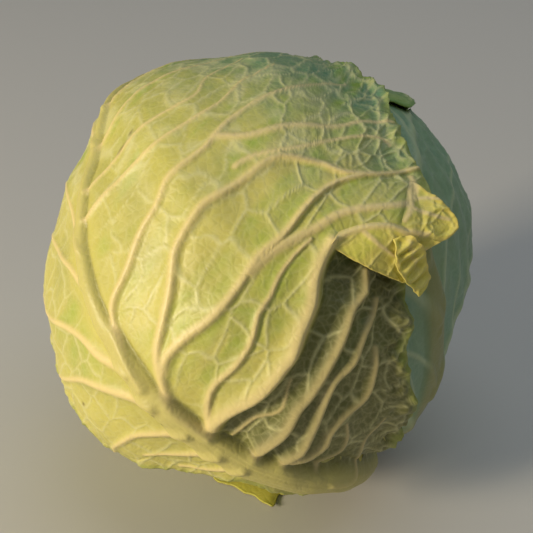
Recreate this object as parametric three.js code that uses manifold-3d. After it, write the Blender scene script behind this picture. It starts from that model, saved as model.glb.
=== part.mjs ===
// Savoy cabbage: a tight round head with its outer leaves, each leaf a solid of its own.
// Millimetres, +Z up, front toward -Y. The origin is the middle of the footprint, on the surface.
import * as THREE from 'three';
import { mergeVertices } from 'three/addons/utils/BufferGeometryUtils.js';
import Module from 'manifold-3d';

const wasm = await Module();
wasm.setup();

// Driving dimensions
const HEAD_RADIUS = 91;
const BLADE = 1.2;
const LAYER_STEP = 2.2;
const REST_DEPTH = 88.7;
const FRONT_TILT = 32;
const RIB_ROOT = 0.75;
const MARGIN_LIFT = 1.8;
const STALK_RADIUS = 14.8;
const STALK_SEAT = 74;
const STALK_END = 87;

// Outer faces of the leaf layers, from the outside in
const LAYER = {
  front: HEAD_RADIUS,
  back: HEAD_RADIUS - LAYER_STEP,
  side: HEAD_RADIUS - 2 * LAYER_STEP,
  heartLeaf: HEAD_RADIUS - 3 * LAYER_STEP - 0.2,
  heart: HEAD_RADIUS - 3 * LAYER_STEP - 0.9,
};

// How far the head swells beyond a sphere, by the angle round the front view, in degrees
const GIRTH = [
  [0, 0.0], [22, 0.062], [45, 0.075], [68, 0.015], [95, -0.005], [127, 0.035], [148, -0.045],
  [165, -0.068], [190, -0.035], [225, 0.022], [255, -0.045], [285, 0.0], [312, -0.01], [345, -0.035],
];

// A map of the head about one direction: millimetres of arc to the right (across) and up (along).
class Chart {
  constructor(outward, upward) {
    this.out = outward.clone().normalize();
    this.up = upward.clone().addScaledVector(this.out, -upward.dot(this.out)).normalize();
    this.right = new THREE.Vector3().crossVectors(this.up, this.out);
  }

  direction(across, along) {
    const arc = Math.hypot(across, along);
    if (arc === 0) {
      return this.out.clone();
    }
    const turn = arc / HEAD_RADIUS;
    return this.out.clone().multiplyScalar(Math.cos(turn))
      .addScaledVector(this.right, Math.sin(turn) * across / arc)
      .addScaledVector(this.up, Math.sin(turn) * along / arc);
  }

  locate(direction) {
    const arc = HEAD_RADIUS * this.out.angleTo(direction);
    const across = direction.dot(this.right);
    const along = direction.dot(this.up);
    const length = Math.hypot(across, along) || 1;
    return [arc * across / length, arc * along / length];
  }
}

const tilt = THREE.MathUtils.degToRad(FRONT_TILT);
const front = new Chart(
  new THREE.Vector3(0, -Math.cos(tilt), Math.sin(tilt)),
  new THREE.Vector3(0, Math.sin(tilt), Math.cos(tilt)),
);
const stem = front.direction(81, -143);
const crown = stem.clone().negate();
const down = new THREE.Vector3(0, 0, -1);

// A direction by its turn round the stalk from the front leaf's side, and its angle from the stalk.
const stemChart = new Chart(stem, front.out);
function fromStem(turnDegrees, angleDegrees) {
  const turn = THREE.MathUtils.degToRad(turnDegrees);
  const arc = HEAD_RADIUS * THREE.MathUtils.degToRad(angleDegrees);
  return stemChart.direction(arc * Math.sin(turn), arc * Math.cos(turn));
}

const smooth = (low, high, value) => THREE.MathUtils.smoothstep(value, low, high);

function swell(direction) {
  const across = direction.dot(front.right);
  const along = direction.dot(front.up);
  const angle = (THREE.MathUtils.radToDeg(Math.atan2(along, across)) + 360) % 360;
  let index = GIRTH.length - 1;
  while (GIRTH[index][0] > angle) {
    index -= 1;
  }
  const [lowAngle, lowSwell] = GIRTH[index];
  const [nextAngle, nextSwell] = GIRTH[(index + 1) % GIRTH.length];
  const span = (nextAngle - lowAngle + 360) % 360;
  const share = smooth(0, 1, (angle - lowAngle) / span);
  return 1 + (across * across + along * along) * THREE.MathUtils.lerp(lowSwell, nextSwell, share);
}

// Soft billows of a blade, from 0 to 1, about 40 mm from one to the next.
const FIRST_BILLOW = new THREE.Vector3(13, 0, 7);
const SECOND_BILLOW = new THREE.Vector3(-9, 15, 0);
function billow(direction, phase) {
  const first = Math.sin(direction.dot(FIRST_BILLOW) + phase);
  const second = Math.sin(direction.dot(SECOND_BILLOW) + 2 * phase);
  return 0.5 + 0.25 * (first + second);
}

// An outline as the distance from a hub to the edge, for any angle round the hub.
function reachOf(hub, outline) {
  const corners = outline.map(([across, along]) => [across - hub[0], along - hub[1]]);
  return (angle) => {
    const ray = [Math.cos(angle), Math.sin(angle)];
    for (let i = 0; i < corners.length; i += 1) {
      const [x0, y0] = corners[i];
      const [x1, y1] = corners[(i + 1) % corners.length];
      const before = ray[1] * x0 - ray[0] * y0;
      const after = ray[1] * x1 - ray[0] * y1;
      const ahead = (x0 + x1) * ray[0] + (y0 + y1) * ray[1] > 0;
      if (before >= 0 && after < 0 && ahead) {
        return (x0 * y1 - x1 * y0) / (before - after);
      }
    }
    throw new Error('the outline leaves a gap round its hub');
  };
}

class Leaf {
  constructor({ chart, hub = [0, 0], outline, layer, lift = () => 0, billows = 0.3, phase = 0 }) {
    Object.assign(this, { chart, hub, layer, lift, billows, phase });
    this.reach = reachOf(hub, outline);
  }

  // How far out a direction lies on this leaf: 0 at the hub, 1 at the margin.
  share(direction) {
    const [across, along] = this.chart.locate(direction);
    const angle = Math.atan2(along - this.hub[1], across - this.hub[0]);
    return Math.hypot(across - this.hub[0], along - this.hub[1]) / this.reach(angle);
  }

  outer(across, along) {
    const direction = this.chart.direction(across, along);
    const height = this.billows * billow(direction, this.phase) + this.lift(direction, across, along, this);
    return (this.layer + height) * swell(direction);
  }

  // The blade: rings of triangles about the hub, the same on both faces, joined round the margin.
  blade(rings, { radius = this.outer.bind(this), thickness = BLADE } = {}) {
    const places = [[this.hub[0], this.hub[1]]];
    for (let ring = 1; ring <= rings; ring += 1) {
      for (let step = 0; step < 6 * ring; step += 1) {
        const angle = 2 * Math.PI * step / (6 * ring);
        const distance = this.reach(angle) * ring / rings;
        places.push([this.hub[0] + distance * Math.cos(angle), this.hub[1] + distance * Math.sin(angle)]);
      }
    }
    const count = places.length;
    const positions = [];
    for (const depth of [0, thickness]) {
      for (const [across, along] of places) {
        const point = this.chart.direction(across, along).multiplyScalar(radius(across, along) - depth);
        positions.push(point.x, point.y, point.z);
      }
    }
    const faces = [];
    const place = (ring, step) => (ring === 0 ? 0 : 1 + 3 * ring * (ring - 1) + step % (6 * ring));
    const addBothFaces = (a, b, c) => faces.push(a, b, c, a + count, c + count, b + count);
    for (let ring = 1; ring <= rings; ring += 1) {
      for (let sector = 0; sector < 6; sector += 1) {
        for (let i = 0; i < ring; i += 1) {
          const near = place(ring - 1, sector * (ring - 1) + i);
          const far = place(ring, sector * ring + i);
          const farNext = place(ring, sector * ring + i + 1);
          addBothFaces(near, far, farNext);
          if (i < ring - 1) {
            addBothFaces(near, farNext, place(ring - 1, sector * (ring - 1) + i + 1));
          }
        }
      }
    }
    for (let step = 0; step < 6 * rings; step += 1) {
      const here = place(rings, step);
      const next = place(rings, step + 1);
      faces.push(here, here + count, next, next, here + count, next + count);
    }
    return solidFrom(positions, faces);
  }

  // A ridge along a path on the outer face, its root sunk in the blade.
  rib({ path, width, height, section = RIDGE, step = 19, fade = () => 1 }) {
    const curve = new THREE.CatmullRomCurve3(
      path.map(([across, along]) => new THREE.Vector3(across, along, 0)),
    );
    const stations = Math.max(1, Math.round(curve.getLength() / step));
    const places = curve.getSpacedPoints(stations);
    const outwards = places.map((place) => this.chart.direction(place.x, place.y));
    const centres = places.map(
      (place, i) => outwards[i].clone().multiplyScalar(this.outer(place.x, place.y)),
    );
    const positions = [];
    centres.forEach((centre, i) => {
      const along = centres[Math.min(i + 1, stations)].clone().sub(centres[Math.max(i - 1, 0)]);
      const side = along.cross(outwards[i]).normalize();
      const share = i / stations;
      const halfWidth = THREE.MathUtils.lerp(width[0], width[1], share) / 2;
      const crest = THREE.MathUtils.lerp(height[0], height[1], share) * fade(outwards[i]);
      for (const [sideways, outward] of section) {
        const rise = outward * (crest + RIB_ROOT) - RIB_ROOT;
        const point = centre.clone().addScaledVector(side, sideways * halfWidth)
          .addScaledVector(outwards[i], rise);
        positions.push(point.x, point.y, point.z);
      }
    });
    return sweep(positions, section.length, stations);
  }
}

// Rib sections as sideways and outward shares, from the left root over the crest to the right root
const RIDGE = [[-1, 0], [0, 1], [1, 0]];
const ROUNDED = [[-1, 0], [-0.5, 0.86], [0.5, 0.86], [1, 0]];
const MIDRIB = [[-1, 0], [-0.6, 0.72], [0, 1], [0.6, 0.72], [1, 0]];

function sweep(positions, corners, stations) {
  const faces = [];
  for (let i = 0; i < stations; i += 1) {
    for (let j = 0; j < corners; j += 1) {
      const a = i * corners + j;
      const b = i * corners + (j + 1) % corners;
      faces.push(a, b, a + corners, b, b + corners, a + corners);
    }
  }
  const last = stations * corners;
  for (let j = 1; j < corners - 1; j += 1) {
    faces.push(0, j + 1, j, last, last + j, last + j + 1);
  }
  return solidFrom(positions, faces);
}

function solidFrom(positions, faces) {
  return new wasm.Manifold(new wasm.Mesh({
    numProp: 3,
    vertProperties: new Float32Array(positions),
    triVerts: new Uint32Array(faces),
  }));
}

function solidFromGeometry(geometry) {
  geometry.deleteAttribute('normal');
  geometry.deleteAttribute('uv');
  const merged = mergeVertices(geometry, 1e-4);
  return solidFrom(merged.getAttribute('position').array, merged.getIndex().array);
}

// The largest shell of a joined solid: a pocket sealed by the joining is filled, a loose scrap dropped.
const SLIVER = 0.05;
function geometryOf(solid) {
  const shells = solid.simplify(SLIVER).decompose();
  const mesh = shells.reduce((best, shell) => (shell.volume() > best.volume() ? shell : best)).getMesh();
  const geometry = new THREE.BufferGeometry();
  geometry.setAttribute('position', new THREE.BufferAttribute(mesh.vertProperties, 3));
  geometry.setIndex(new THREE.BufferAttribute(mesh.triVerts, 1));
  return geometry;
}

// Where a lower leaf is bare: 0 under the leaves that cover it, 1 clear of their margins.
const COVER_EDGE = 1.06;
const COVER_CLEAR = 1.26;
const clearOf = (...covers) => (direction) => Math.min(
  ...covers.map((cover) => smooth(COVER_EDGE, COVER_CLEAR, cover.share(direction))),
);

// Waves of a bare margin, standing off the head.
const MARGIN_START = 0.84;
const WAVE_SHARE = 0.45;
const ruffle = (waves, bare = () => 1) => (direction, across, along, leaf) => {
  const angle = Math.atan2(along - leaf.hub[1], across - leaf.hub[0]);
  const edge = smooth(MARGIN_START, 1, leaf.share(direction));
  const wave = 1 - WAVE_SHARE + WAVE_SHARE * Math.sin(waves * angle);
  return MARGIN_LIFT * edge * bare(direction) * wave;
};

const group = new THREE.Group();
const head = new THREE.Group();
group.add(head);

function addPiece(name, solid, colour, roughness) {
  const material = new THREE.MeshStandardMaterial({ color: colour, roughness, metalness: 0 });
  const mesh = new THREE.Mesh(geometryOf(solid), material);
  mesh.name = name;
  head.add(mesh);
}

// Front leaf: wraps the front, the left and the top, with a broad midrib on its left.
const frontLeaf = new Leaf({
  chart: front,
  layer: LAYER.front,
  billows: 1.0,
  phase: 0.4,
  lift: ruffle(23),
  outline: [
    [84, -125], [76, -108], [72, -91], [77, -76], [75, -64], [66, -49], [60, -31], [62, -20], [60, -4],
    [60, 10], [63, 22], [64, 32], [62, 39], [61, 47], [59, 54], [61, 61], [58, 66], [57, 73], [60, 82],
    [60, 92], [57, 104], [52, 117], [42, 140], [22, 165], [-20, 176], [-65, 172], [-110, 148],
    [-150, 90], [-165, 50], [-160, 10], [-148, -25], [-128, -50], [-112, -60], [-104, -74], [-89, -90],
    [-83, -96], [-76, -102], [-66, -104], [-57, -97], [-46, -98], [-33, -100], [-20, -100], [-9, -96],
    [0, -102], [10, -111], [20, -119], [36, -127], [58, -137], [72, -131],
  ],
});

const FRONT_MIDRIB = [
  [68, -128], [46, -117], [20, -96], [2, -82], [-13, -70], [-26, -57], [-38, -45], [-48, -32],
  [-57, -19], [-66, -6], [-73, 9], [-78, 22], [-79, 36], [-78, 53], [-77, 75], [-76, 100], [-70, 126],
];

// Side veins of the front leaf, from the midrib outward
const VEINS = {
  topFirst: [[-74, 38], [-54, 56], [-39, 66], [-26, 76], [-23, 91]],
  topSecond: [[-66, 32], [-54, 42], [-40, 51], [-27, 61], [-15, 72], [-7, 85]],
  longUpper: [
    [-43, -42], [-52, -26], [-56, -16], [-55, -9], [-50, 1], [-42, 19], [-33, 35], [-19, 48],
    [-11, 60], [5, 74], [20, 82], [41, 89],
  ],
  longUpperBranch: [[-16, 53], [-3, 53], [13, 58], [31, 59], [42, 62], [55, 62]],
  shortUpper: [[-8, 40], [-2, 44], [18, 49], [31, 53], [43, 55], [52, 51]],
  longMiddle: [
    [-19, -64], [-33, -49], [-36, -28], [-34, -18], [-30, 2], [-26, 15], [-18, 26], [-7, 33],
    [9, 44], [25, 41], [40, 37], [59, 40],
  ],
  middleBranch: [[-35, -36], [-25, -22], [-11, -10], [1, 7], [11, 16], [23, 30], [39, 37]],
  middleTwig: [[-2, 2], [15, 14], [27, 21], [42, 24], [57, 28], [58, 37]],
  lowerFirst: [[-19, -59], [-15, -40], [-7, -32], [0, -17], [5, -7], [13, 7], [19, 13]],
  lowerStrong: [
    [-18, -60], [-1, -47], [10, -33], [17, -20], [22, -1], [26, 11], [37, 18], [52, 16],
  ],
  lowerShort: [[-10, -66], [6, -54], [12, -42], [13, -39]],
  foldFirst: [[0, -75], [12, -62], [20, -47], [32, -23], [41, -6], [41, 2]],
  foldSecond: [[12, -80], [22, -67], [30, -41], [41, -22], [46, -9]],
  foldThird: [[15, -80], [30, -73], [45, -50], [46, -28]],
  foldFourth: [[28, -90], [42, -81], [40, -66]],
  foldFifth: [[36, -100], [52, -100], [53, -81], [59, -66]],
  leftFirst: [[-56, -39], [-75, -27], [-90, -23], [-112, -20], [-136, -10]],
  leftSecond: [[-46, -53], [-65, -47], [-94, -51], [-112, -52]],
  leftThird: [[-35, -68], [-56, -72], [-74, -88]],
  leftFourth: [[-22, -82], [-34, -80], [-54, -85]],
  leftUpper: [[-74, -4], [-95, 9], [-120, 24], [-146, 34]],
  leftTop: [[-78, 22], [-97, 44], [-122, 62], [-140, 72]],
  backTop: [[-78, 62], [-96, 92], [-112, 118]],
  backCrown: [[-76, 82], [-52, 112], [-20, 140], [4, 160]],
};

const FRONT_RIB = { width: [17, 4], height: [3.6, 1.0], section: MIDRIB, step: 15 };
const STRONG = { width: [6.0, 2.8], height: [2.3, 0.9], section: ROUNDED };
const FINE = { width: [4.2, 2.2], height: [1.5, 0.7] };
const STRONG_VEINS = [
  'longUpper', 'longMiddle', 'lowerFirst', 'lowerStrong', 'foldFirst', 'foldSecond', 'foldThird',
  'leftFirst', 'leftSecond',
];

// Cross veins: rungs of the raised net, each from one side vein to the nearest place on its neighbour.
const RUNGS = [
  ['topSecond', 'topFirst', 2], ['topSecond', 'longUpper', 2], ['longMiddle', 'longUpper', 5],
  ['middleBranch', 'longMiddle', 4], ['lowerFirst', 'middleBranch', 3], ['lowerFirst', 'lowerStrong', 2],
  ['foldFirst', 'lowerStrong', 2], ['foldFirst', 'foldSecond', 1], ['leftSecond', 'leftFirst', 2],
  ['leftUpper', 'leftFirst', 2],
];
const RUNG = { width: [2.4, 2.4], height: [0.8, 0.8] };
const LONGEST_RUNG = 24;

function rungPaths() {
  const curveOf = (name) => new THREE.CatmullRomCurve3(
    VEINS[name].map(([across, along]) => new THREE.Vector3(across, along, 0)),
  );
  return RUNGS.flatMap(([first, second, count]) => {
    const from = curveOf(first);
    const targets = curveOf(second).getSpacedPoints(60);
    return Array.from({ length: count }, (_, i) => {
      const start = from.getPointAt((i + 1) / (count + 1));
      const end = targets.reduce((best, place) => (
        place.distanceTo(start) < best.distanceTo(start) ? place : best
      ));
      return [start, end];
    });
  }).filter(([start, end]) => start.distanceTo(end) < LONGEST_RUNG)
    .map((ends) => ends.map((place) => [place.x, place.y]));
}

// The turned-over flap at the front leaf's right edge, with its curled tail. It leaves the blade
// along a fold and rises toward its free edge.
const FOLD_START = new THREE.Vector2(27, 12);
const FOLD_NORMAL = new THREE.Vector2(0.45, -0.9);
const FOLD_SINK = 1.0;
const FLAP_RISE = 6.5;
const CREASE_HEIGHT = 1.4;
const CREASE_WAVES = new THREE.Vector2(0.45, 0.2);
const flap = new Leaf({
  chart: front,
  hub: [57, 12],
  layer: LAYER.front,
  billows: 0.4,
  outline: [
    [73, 14], [77, 18], [74, 22], [70, 26], [66, 29], [62, 33], [58, 36], [50, 37], [40, 27], [30, 18],
    [25, 11], [32, 7], [41, 2], [49, -1], [55, -3], [59, -7], [63, -6], [67, -3], [67, 1], [63, 6],
    [66, 12],
  ],
  lift: (direction, across, along) => {
    const place = new THREE.Vector2(across, along);
    const crease = CREASE_HEIGHT * Math.sin(place.dot(CREASE_WAVES));
    const fromFold = place.sub(FOLD_START).dot(FOLD_NORMAL);
    return FLAP_RISE * smooth(-4, 26, fromFold) + crease * smooth(2, 20, fromFold) - FOLD_SINK;
  },
});

function frontSolid() {
  let solid = frontLeaf.blade(13).add(frontLeaf.rib({ path: FRONT_MIDRIB, ...FRONT_RIB }));
  for (const [name, path] of Object.entries(VEINS)) {
    solid = solid.add(frontLeaf.rib({ path, ...(STRONG_VEINS.includes(name) ? STRONG : FINE) }));
  }
  for (const path of rungPaths()) {
    solid = solid.add(frontLeaf.rib({ path, ...RUNG }));
  }
  return solid.add(flap.blade(4));
}

// An outline given as turns round the stalk and angles from it, in degrees.
const roundStem = (chart, places) => places.map(([turn, angle]) => chart.locate(fromStem(turn, angle)));

// Back leaf: lies under the front leaf, with a rolled margin at the top right.
const backChart = new Chart(fromStem(134, 98), crown);
const backLeaf = new Leaf({
  chart: backChart,
  layer: LAYER.back,
  phase: 1.9,
  lift: ruffle(17, clearOf(frontLeaf)),
  outline: roundStem(backChart, [
    [166, 13], [192, 26], [204, 45], [206, 70], [206, 95], [208, 120], [206, 138], [170, 150],
    [100, 146], [76, 138], [70, 130], [70, 124], [76, 121], [83, 118], [91, 115], [99, 110], [105, 104],
    [107, 96], [107, 84], [106, 70], [104, 56], [101, 42], [99, 26], [104, 13],
  ]),
});

// Right leaf: the smooth bluish blade at the right, with a thick midrib.
const rightChart = new Chart(new THREE.Vector3(0.686, -0.552, 0.474), crown);
const rightLeaf = new Leaf({
  chart: rightChart,
  layer: LAYER.side,
  phase: 3.1,
  outline: roundStem(rightChart, [
    [62, 13], [96, 26], [112, 45], [116, 70], [116, 95], [110, 118], [86, 138], [40, 150], [0, 144],
    [-12, 120], [-12, 95], [-12, 70], [-12, 45], [-10, 26], [-2, 13],
  ]),
});

// Left leaf: wraps the left, the underside and the back, below the front leaf and the back leaf.
const leftChart = new Chart(fromStem(-110, 88), crown);
const leftLeaf = new Leaf({
  chart: leftChart,
  layer: LAYER.side,
  phase: 4.6,
  outline: roundStem(leftChart, [
    [-76, 13], [-38, 20], [-22, 36], [-22, 60], [-30, 80], [-42, 100], [-52, 120], [-70, 138],
    [-110, 148], [-150, 146], [-174, 126], [-178, 100], [-178, 70], [-176, 45], [-168, 26],
    [-144, 13],
  ]),
});

// A leaf with a straight midrib and side veins that leave it steeply, turn by turn on its two sides,
// and swing out toward the margin.
const STRAIGHT_RIB = { width: [16, 4], height: [3.2, 0.9], section: MIDRIB };
const SIDE_VEIN = { width: [5.0, 2.0], height: [1.8, 0.6] };
const FIRST_PAIR = 12;
const LAST_PAIR = 48;
const VEIN_SWING = [[0, 0], [0.2, 17], [0.5, 32], [0.85, 42], [1.25, 48]];
const VEIN_END = 0.93;
function sideVein(leaf, start, swing) {
  const bend = new THREE.CatmullRomCurve3(
    VEIN_SWING.map(([out, up]) => new THREE.Vector3(swing * out, start + up, 0)),
  );
  return bend.getSpacedPoints(20).map((place) => [place.x, place.y])
    .filter(([across, along]) => leaf.share(leaf.chart.direction(across, along)) < VEIN_END);
}

function pinnateSolid(leaf, { rings, foot, tip, pairs, spread, bare, ribWidth = 16 }) {
  const midrib = [[0, foot], [0, (foot + tip) / 2], [0, tip]];
  const shape = { ...STRAIGHT_RIB, width: [ribWidth, STRAIGHT_RIB.width[1]], fade: bare };
  let solid = leaf.blade(rings).add(leaf.rib({ path: midrib, ...shape }));
  const pitch = (tip - LAST_PAIR - foot - FIRST_PAIR) / (pairs - 1);
  for (let pair = 0; pair < pairs; pair += 1) {
    for (const side of [-1, 1]) {
      const start = foot + FIRST_PAIR + pitch * (pair + (side > 0 ? 0.4 : 0));
      const path = sideVein(leaf, start, side * spread);
      solid = solid.add(leaf.rib({ path, ...SIDE_VEIN, fade: bare }));
    }
  }
  return solid;
}

// Under leaf: a ragged remnant between the head and the surface, flattened where the head rests.
const underLeaf = new Leaf({
  chart: new Chart(down, new THREE.Vector3(0, -1, 0)),
  layer: LAYER.front,
  billows: 0,
  outline: [
    [36, 10], [28, 25], [20, 30], [14, 33], [11, 36], [5, 40], [1, 36], [-5, 37], [-9, 33], [-16, 32],
    [-20, 25], [-27, 22], [-26, 14], [-31, 4], [-27, -6], [-28, -14], [-20, -18], [-14, -26], [-4, -24],
    [6, -27], [14, -20], [24, -17], [27, -6], [33, 0],
  ],
});
// Its outer face is held at the resting plane, and its tongue lies along the surface in front.
const TONGUE_RISE = 0.6;
const TONGUE_REACH = 10;
function underRadius(across, along) {
  const direction = underLeaf.chart.direction(across, along);
  const free = underLeaf.outer(across, along) + TONGUE_REACH * smooth(16, 32, along);
  const plane = REST_DEPTH - TONGUE_RISE * smooth(20, 24, along);
  return Math.min(free, plane / -direction.z);
}

// Stalk: the short cut end that the leaves grow round, flared where it meets the heart.
const SEAT_GAP = 0.5;
function stalkSolid() {
  const profile = [
    [0, STALK_SEAT + SEAT_GAP], [STALK_RADIUS + 5, STALK_SEAT + SEAT_GAP], [STALK_RADIUS + 3, 80.5],
    [STALK_RADIUS + 0.4, 83], [STALK_RADIUS, STALK_END - 1], [STALK_RADIUS - 1, STALK_END],
    [0, STALK_END - 0.6],
  ].map(([radius, height]) => new THREE.Vector2(radius, height));
  const geometry = new THREE.LatheGeometry(profile, 24);
  const turn = new THREE.Quaternion().setFromUnitVectors(new THREE.Vector3(0, 1, 0), stem);
  geometry.applyQuaternion(turn);
  return solidFromGeometry(geometry);
}

// Heart: the tight inner head, with two of its own leaves standing out of it.
const HEART_LEAF_DEPTH = 3.2;
function heartSolid() {
  const seated = (radius, direction) => Math.min(radius, STALK_SEAT / Math.max(direction.dot(stem), 0.1));
  const geometry = new THREE.IcosahedronGeometry(1, 5);
  const position = geometry.getAttribute('position');
  for (let i = 0; i < position.count; i += 1) {
    const direction = new THREE.Vector3().fromBufferAttribute(position, i).normalize();
    direction.multiplyScalar(seated(LAYER.heart * swell(direction), direction));
    position.setXYZ(i, direction.x, direction.y, direction.z);
  }
  let solid = solidFromGeometry(geometry);
  for (const turn of [164, -62]) {
    const leaf = new Leaf({
      chart: new Chart(fromStem(turn, 96), crown),
      layer: LAYER.heartLeaf,
      outline: [
        [0, -92], [46, -74], [78, -30], [80, 26], [50, 74], [0, 96], [-50, 74], [-80, 26], [-78, -30],
        [-46, -74],
      ],
      billows: 0.2,
      phase: turn,
    });
    solid = solid.add(leaf.blade(5, { thickness: HEART_LEAF_DEPTH }));
  }
  return solid;
}

addPiece('stalk', stalkSolid(), 0xc9c08c, 0.7);
addPiece('heart', heartSolid(), 0xc6cf8a, 0.6);
addPiece('leaf_front', frontSolid(), 0xb9bd66, 0.55);
addPiece('leaf_back', pinnateSolid(backLeaf, {
  rings: 12, foot: -134, tip: 84, pairs: 4, spread: 62, bare: clearOf(frontLeaf),
}), 0x7f9a63, 0.55);
addPiece('leaf_right', pinnateSolid(rightLeaf, {
  rings: 10, foot: -114, tip: 86, pairs: 3, spread: 50, bare: clearOf(frontLeaf, backLeaf), ribWidth: 19,
}), 0x6f9a80, 0.5);
addPiece('leaf_left', pinnateSolid(leftLeaf, {
  rings: 9, foot: -122, tip: 84, pairs: 4, spread: 56, bare: clearOf(frontLeaf, backLeaf, underLeaf),
}), 0x9fb070, 0.55);
addPiece('leaf_under', underLeaf.blade(6, { radius: underRadius }), 0xbfc25a, 0.6);

// Stand the head on its flat spot, with the origin under the middle of its box.
const box = new THREE.Box3().setFromObject(head);
const middle = box.getCenter(new THREE.Vector3());
head.position.set(-middle.x, -middle.y, -box.min.z);

export default group;
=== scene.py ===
"""Looks of the savoy cabbage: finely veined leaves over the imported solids, soft light and the camera.

Lengths in the leaf code are millimetres on the head, measured from its centre. Meshes are in metres.
"""
import math

import bmesh
import bpy
import numpy as np
from mathutils import Matrix, Vector


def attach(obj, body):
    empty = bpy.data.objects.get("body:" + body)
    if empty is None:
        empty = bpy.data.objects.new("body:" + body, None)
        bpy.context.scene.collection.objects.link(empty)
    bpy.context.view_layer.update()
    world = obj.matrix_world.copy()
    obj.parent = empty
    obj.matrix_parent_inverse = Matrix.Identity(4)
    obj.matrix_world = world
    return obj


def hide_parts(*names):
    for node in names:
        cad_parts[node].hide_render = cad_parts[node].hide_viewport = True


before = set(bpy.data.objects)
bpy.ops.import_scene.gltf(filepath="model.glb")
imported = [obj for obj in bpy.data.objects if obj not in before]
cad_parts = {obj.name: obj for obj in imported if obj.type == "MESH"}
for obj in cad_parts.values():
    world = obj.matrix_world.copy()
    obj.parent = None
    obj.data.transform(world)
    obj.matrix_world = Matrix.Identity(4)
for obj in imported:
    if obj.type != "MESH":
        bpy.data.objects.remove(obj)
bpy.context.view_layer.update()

# Driving sizes, as in the part's source
MM = 0.001
HEAD_RADIUS = 91.0
LAYER_STEP = 2.2
REST_DEPTH = 88.7
HEAD_CENTRE = Vector((0.177, 1.673, REST_DEPTH))
FRONT_LAYER = HEAD_RADIUS
BACK_LAYER = HEAD_RADIUS - LAYER_STEP
SIDE_LAYER = HEAD_RADIUS - 2 * LAYER_STEP
HEART_LAYER = HEAD_RADIUS - 3 * LAYER_STEP - 0.4
STALK_RADIUS = 14.8
STALK_SEAT = 74.0
STALK_END = 87.0

# The photograph's view: its tilt, its focal length in pixels and its distance from the head
FRONT_TILT = math.radians(32)
PHOTO_SIDE = 533
FOCAL_PIXELS = 1350.0
VIEW_DISTANCE = 561.0
VIEW_OFFSET = 3.5

# How far the head swells beyond a sphere, by the angle round the front view, in degrees
GIRTH = [
    (0, 0.0), (22, 0.062), (45, 0.075), (68, 0.015), (95, -0.005), (127, 0.035), (148, -0.045),
    (165, -0.068), (190, -0.035), (225, 0.022), (255, -0.045), (285, 0.0), (312, -0.01), (345, -0.035),
]


def smooth(low, high, value):
    """0 below low, 1 above high, eased between."""
    share = np.clip((np.asarray(value, dtype=float) - low) / (high - low), 0, 1)
    return share * share * (3 - 2 * share)


def unit(vector):
    vector = np.asarray(vector, dtype=float)
    return vector / np.linalg.norm(vector)


class Chart:
    """A map of the head about one direction: millimetres of arc to the right (a) and up (b)."""

    def __init__(self, outward, upward):
        self.out = unit(outward)
        upward = np.asarray(upward, dtype=float)
        self.up = unit(upward - self.out * upward.dot(self.out))
        self.right = np.cross(self.up, self.out)

    def directions(self, a, b):
        a = np.asarray(a, dtype=float)
        b = np.asarray(b, dtype=float)
        arc = np.maximum(np.hypot(a, b), 1e-9)
        turn = arc / HEAD_RADIUS
        sine = np.sin(turn) / arc
        return (np.cos(turn)[..., None] * self.out + (sine * a)[..., None] * self.right
                + (sine * b)[..., None] * self.up)

    def locate(self, directions):
        directions = np.asarray(directions, dtype=float)
        arc = HEAD_RADIUS * np.arccos(np.clip(directions @ self.out, -1, 1))
        a = directions @ self.right
        b = directions @ self.up
        length = np.maximum(np.hypot(a, b), 1e-9)
        return arc * a / length, arc * b / length


VIEW_OUT = np.array([0, -math.cos(FRONT_TILT), math.sin(FRONT_TILT)])
VIEW_UP = np.array([0, math.sin(FRONT_TILT), math.cos(FRONT_TILT)])
FRONT = Chart(VIEW_OUT, VIEW_UP)
STEM = FRONT.directions(81, -143)
CROWN = -STEM
STEM_CHART = Chart(STEM, VIEW_OUT)
DOWN = np.array([0.0, 0.0, -1.0])


def from_stem(turn, angle):
    """A direction by its turn round the stalk from the front side and its angle from it, in degrees."""
    turn = np.radians(turn)
    arc = HEAD_RADIUS * np.radians(angle)
    return STEM_CHART.directions(arc * np.sin(turn), arc * np.cos(turn))


def swell(directions):
    """The head's radius as a share of a sphere's."""
    a = directions @ FRONT.right
    b = directions @ FRONT.up
    angle = np.degrees(np.arctan2(b, a)) % 360
    knots = np.array([knot for knot, _ in GIRTH] + [360.0])
    swells = np.array([value for _, value in GIRTH] + [GIRTH[0][1]])
    index = np.clip(np.searchsorted(knots, angle, side="right") - 1, 0, len(GIRTH) - 1)
    share = smooth(0, 1, (angle - knots[index]) / (knots[index + 1] - knots[index]))
    return 1 + (a * a + b * b) * (swells[index] + (swells[index + 1] - swells[index]) * share)


def billow(directions, phase):
    """The soft swells of a blade that the solids have too, from 0 to 1."""
    first = np.sin(directions @ np.array([13.0, 0, 7]) + phase)
    second = np.sin(directions @ np.array([-9.0, 15, 0]) + 2 * phase)
    return 0.5 + 0.25 * (first + second)


def draw(x, y, seed):
    """A repeatable number from 0 to 1 for each whole-number place."""
    value = np.sin(x * 127.1 + y * 311.7 + seed * 74.7) * 43758.5453
    return value - np.floor(value)


def value_noise(x, y, seed):
    """Smooth noise from -1 to 1 with features about one unit across."""
    x0 = np.floor(x)
    y0 = np.floor(y)
    u = smooth(0, 1, x - x0)
    v = smooth(0, 1, y - y0)
    low = draw(x0, y0, seed) * (1 - u) + draw(x0 + 1, y0, seed) * u
    high = draw(x0, y0 + 1, seed) * (1 - u) + draw(x0 + 1, y0 + 1, seed) * u
    return 2 * (low * (1 - v) + high * v) - 1


def fractal(x, y, seed):
    return (value_noise(x, y, seed) + 0.5 * value_noise(2.1 * x, 2.1 * y, seed + 1)
            + 0.25 * value_noise(4.3 * x, 4.3 * y, seed + 2)) / 1.75


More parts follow.
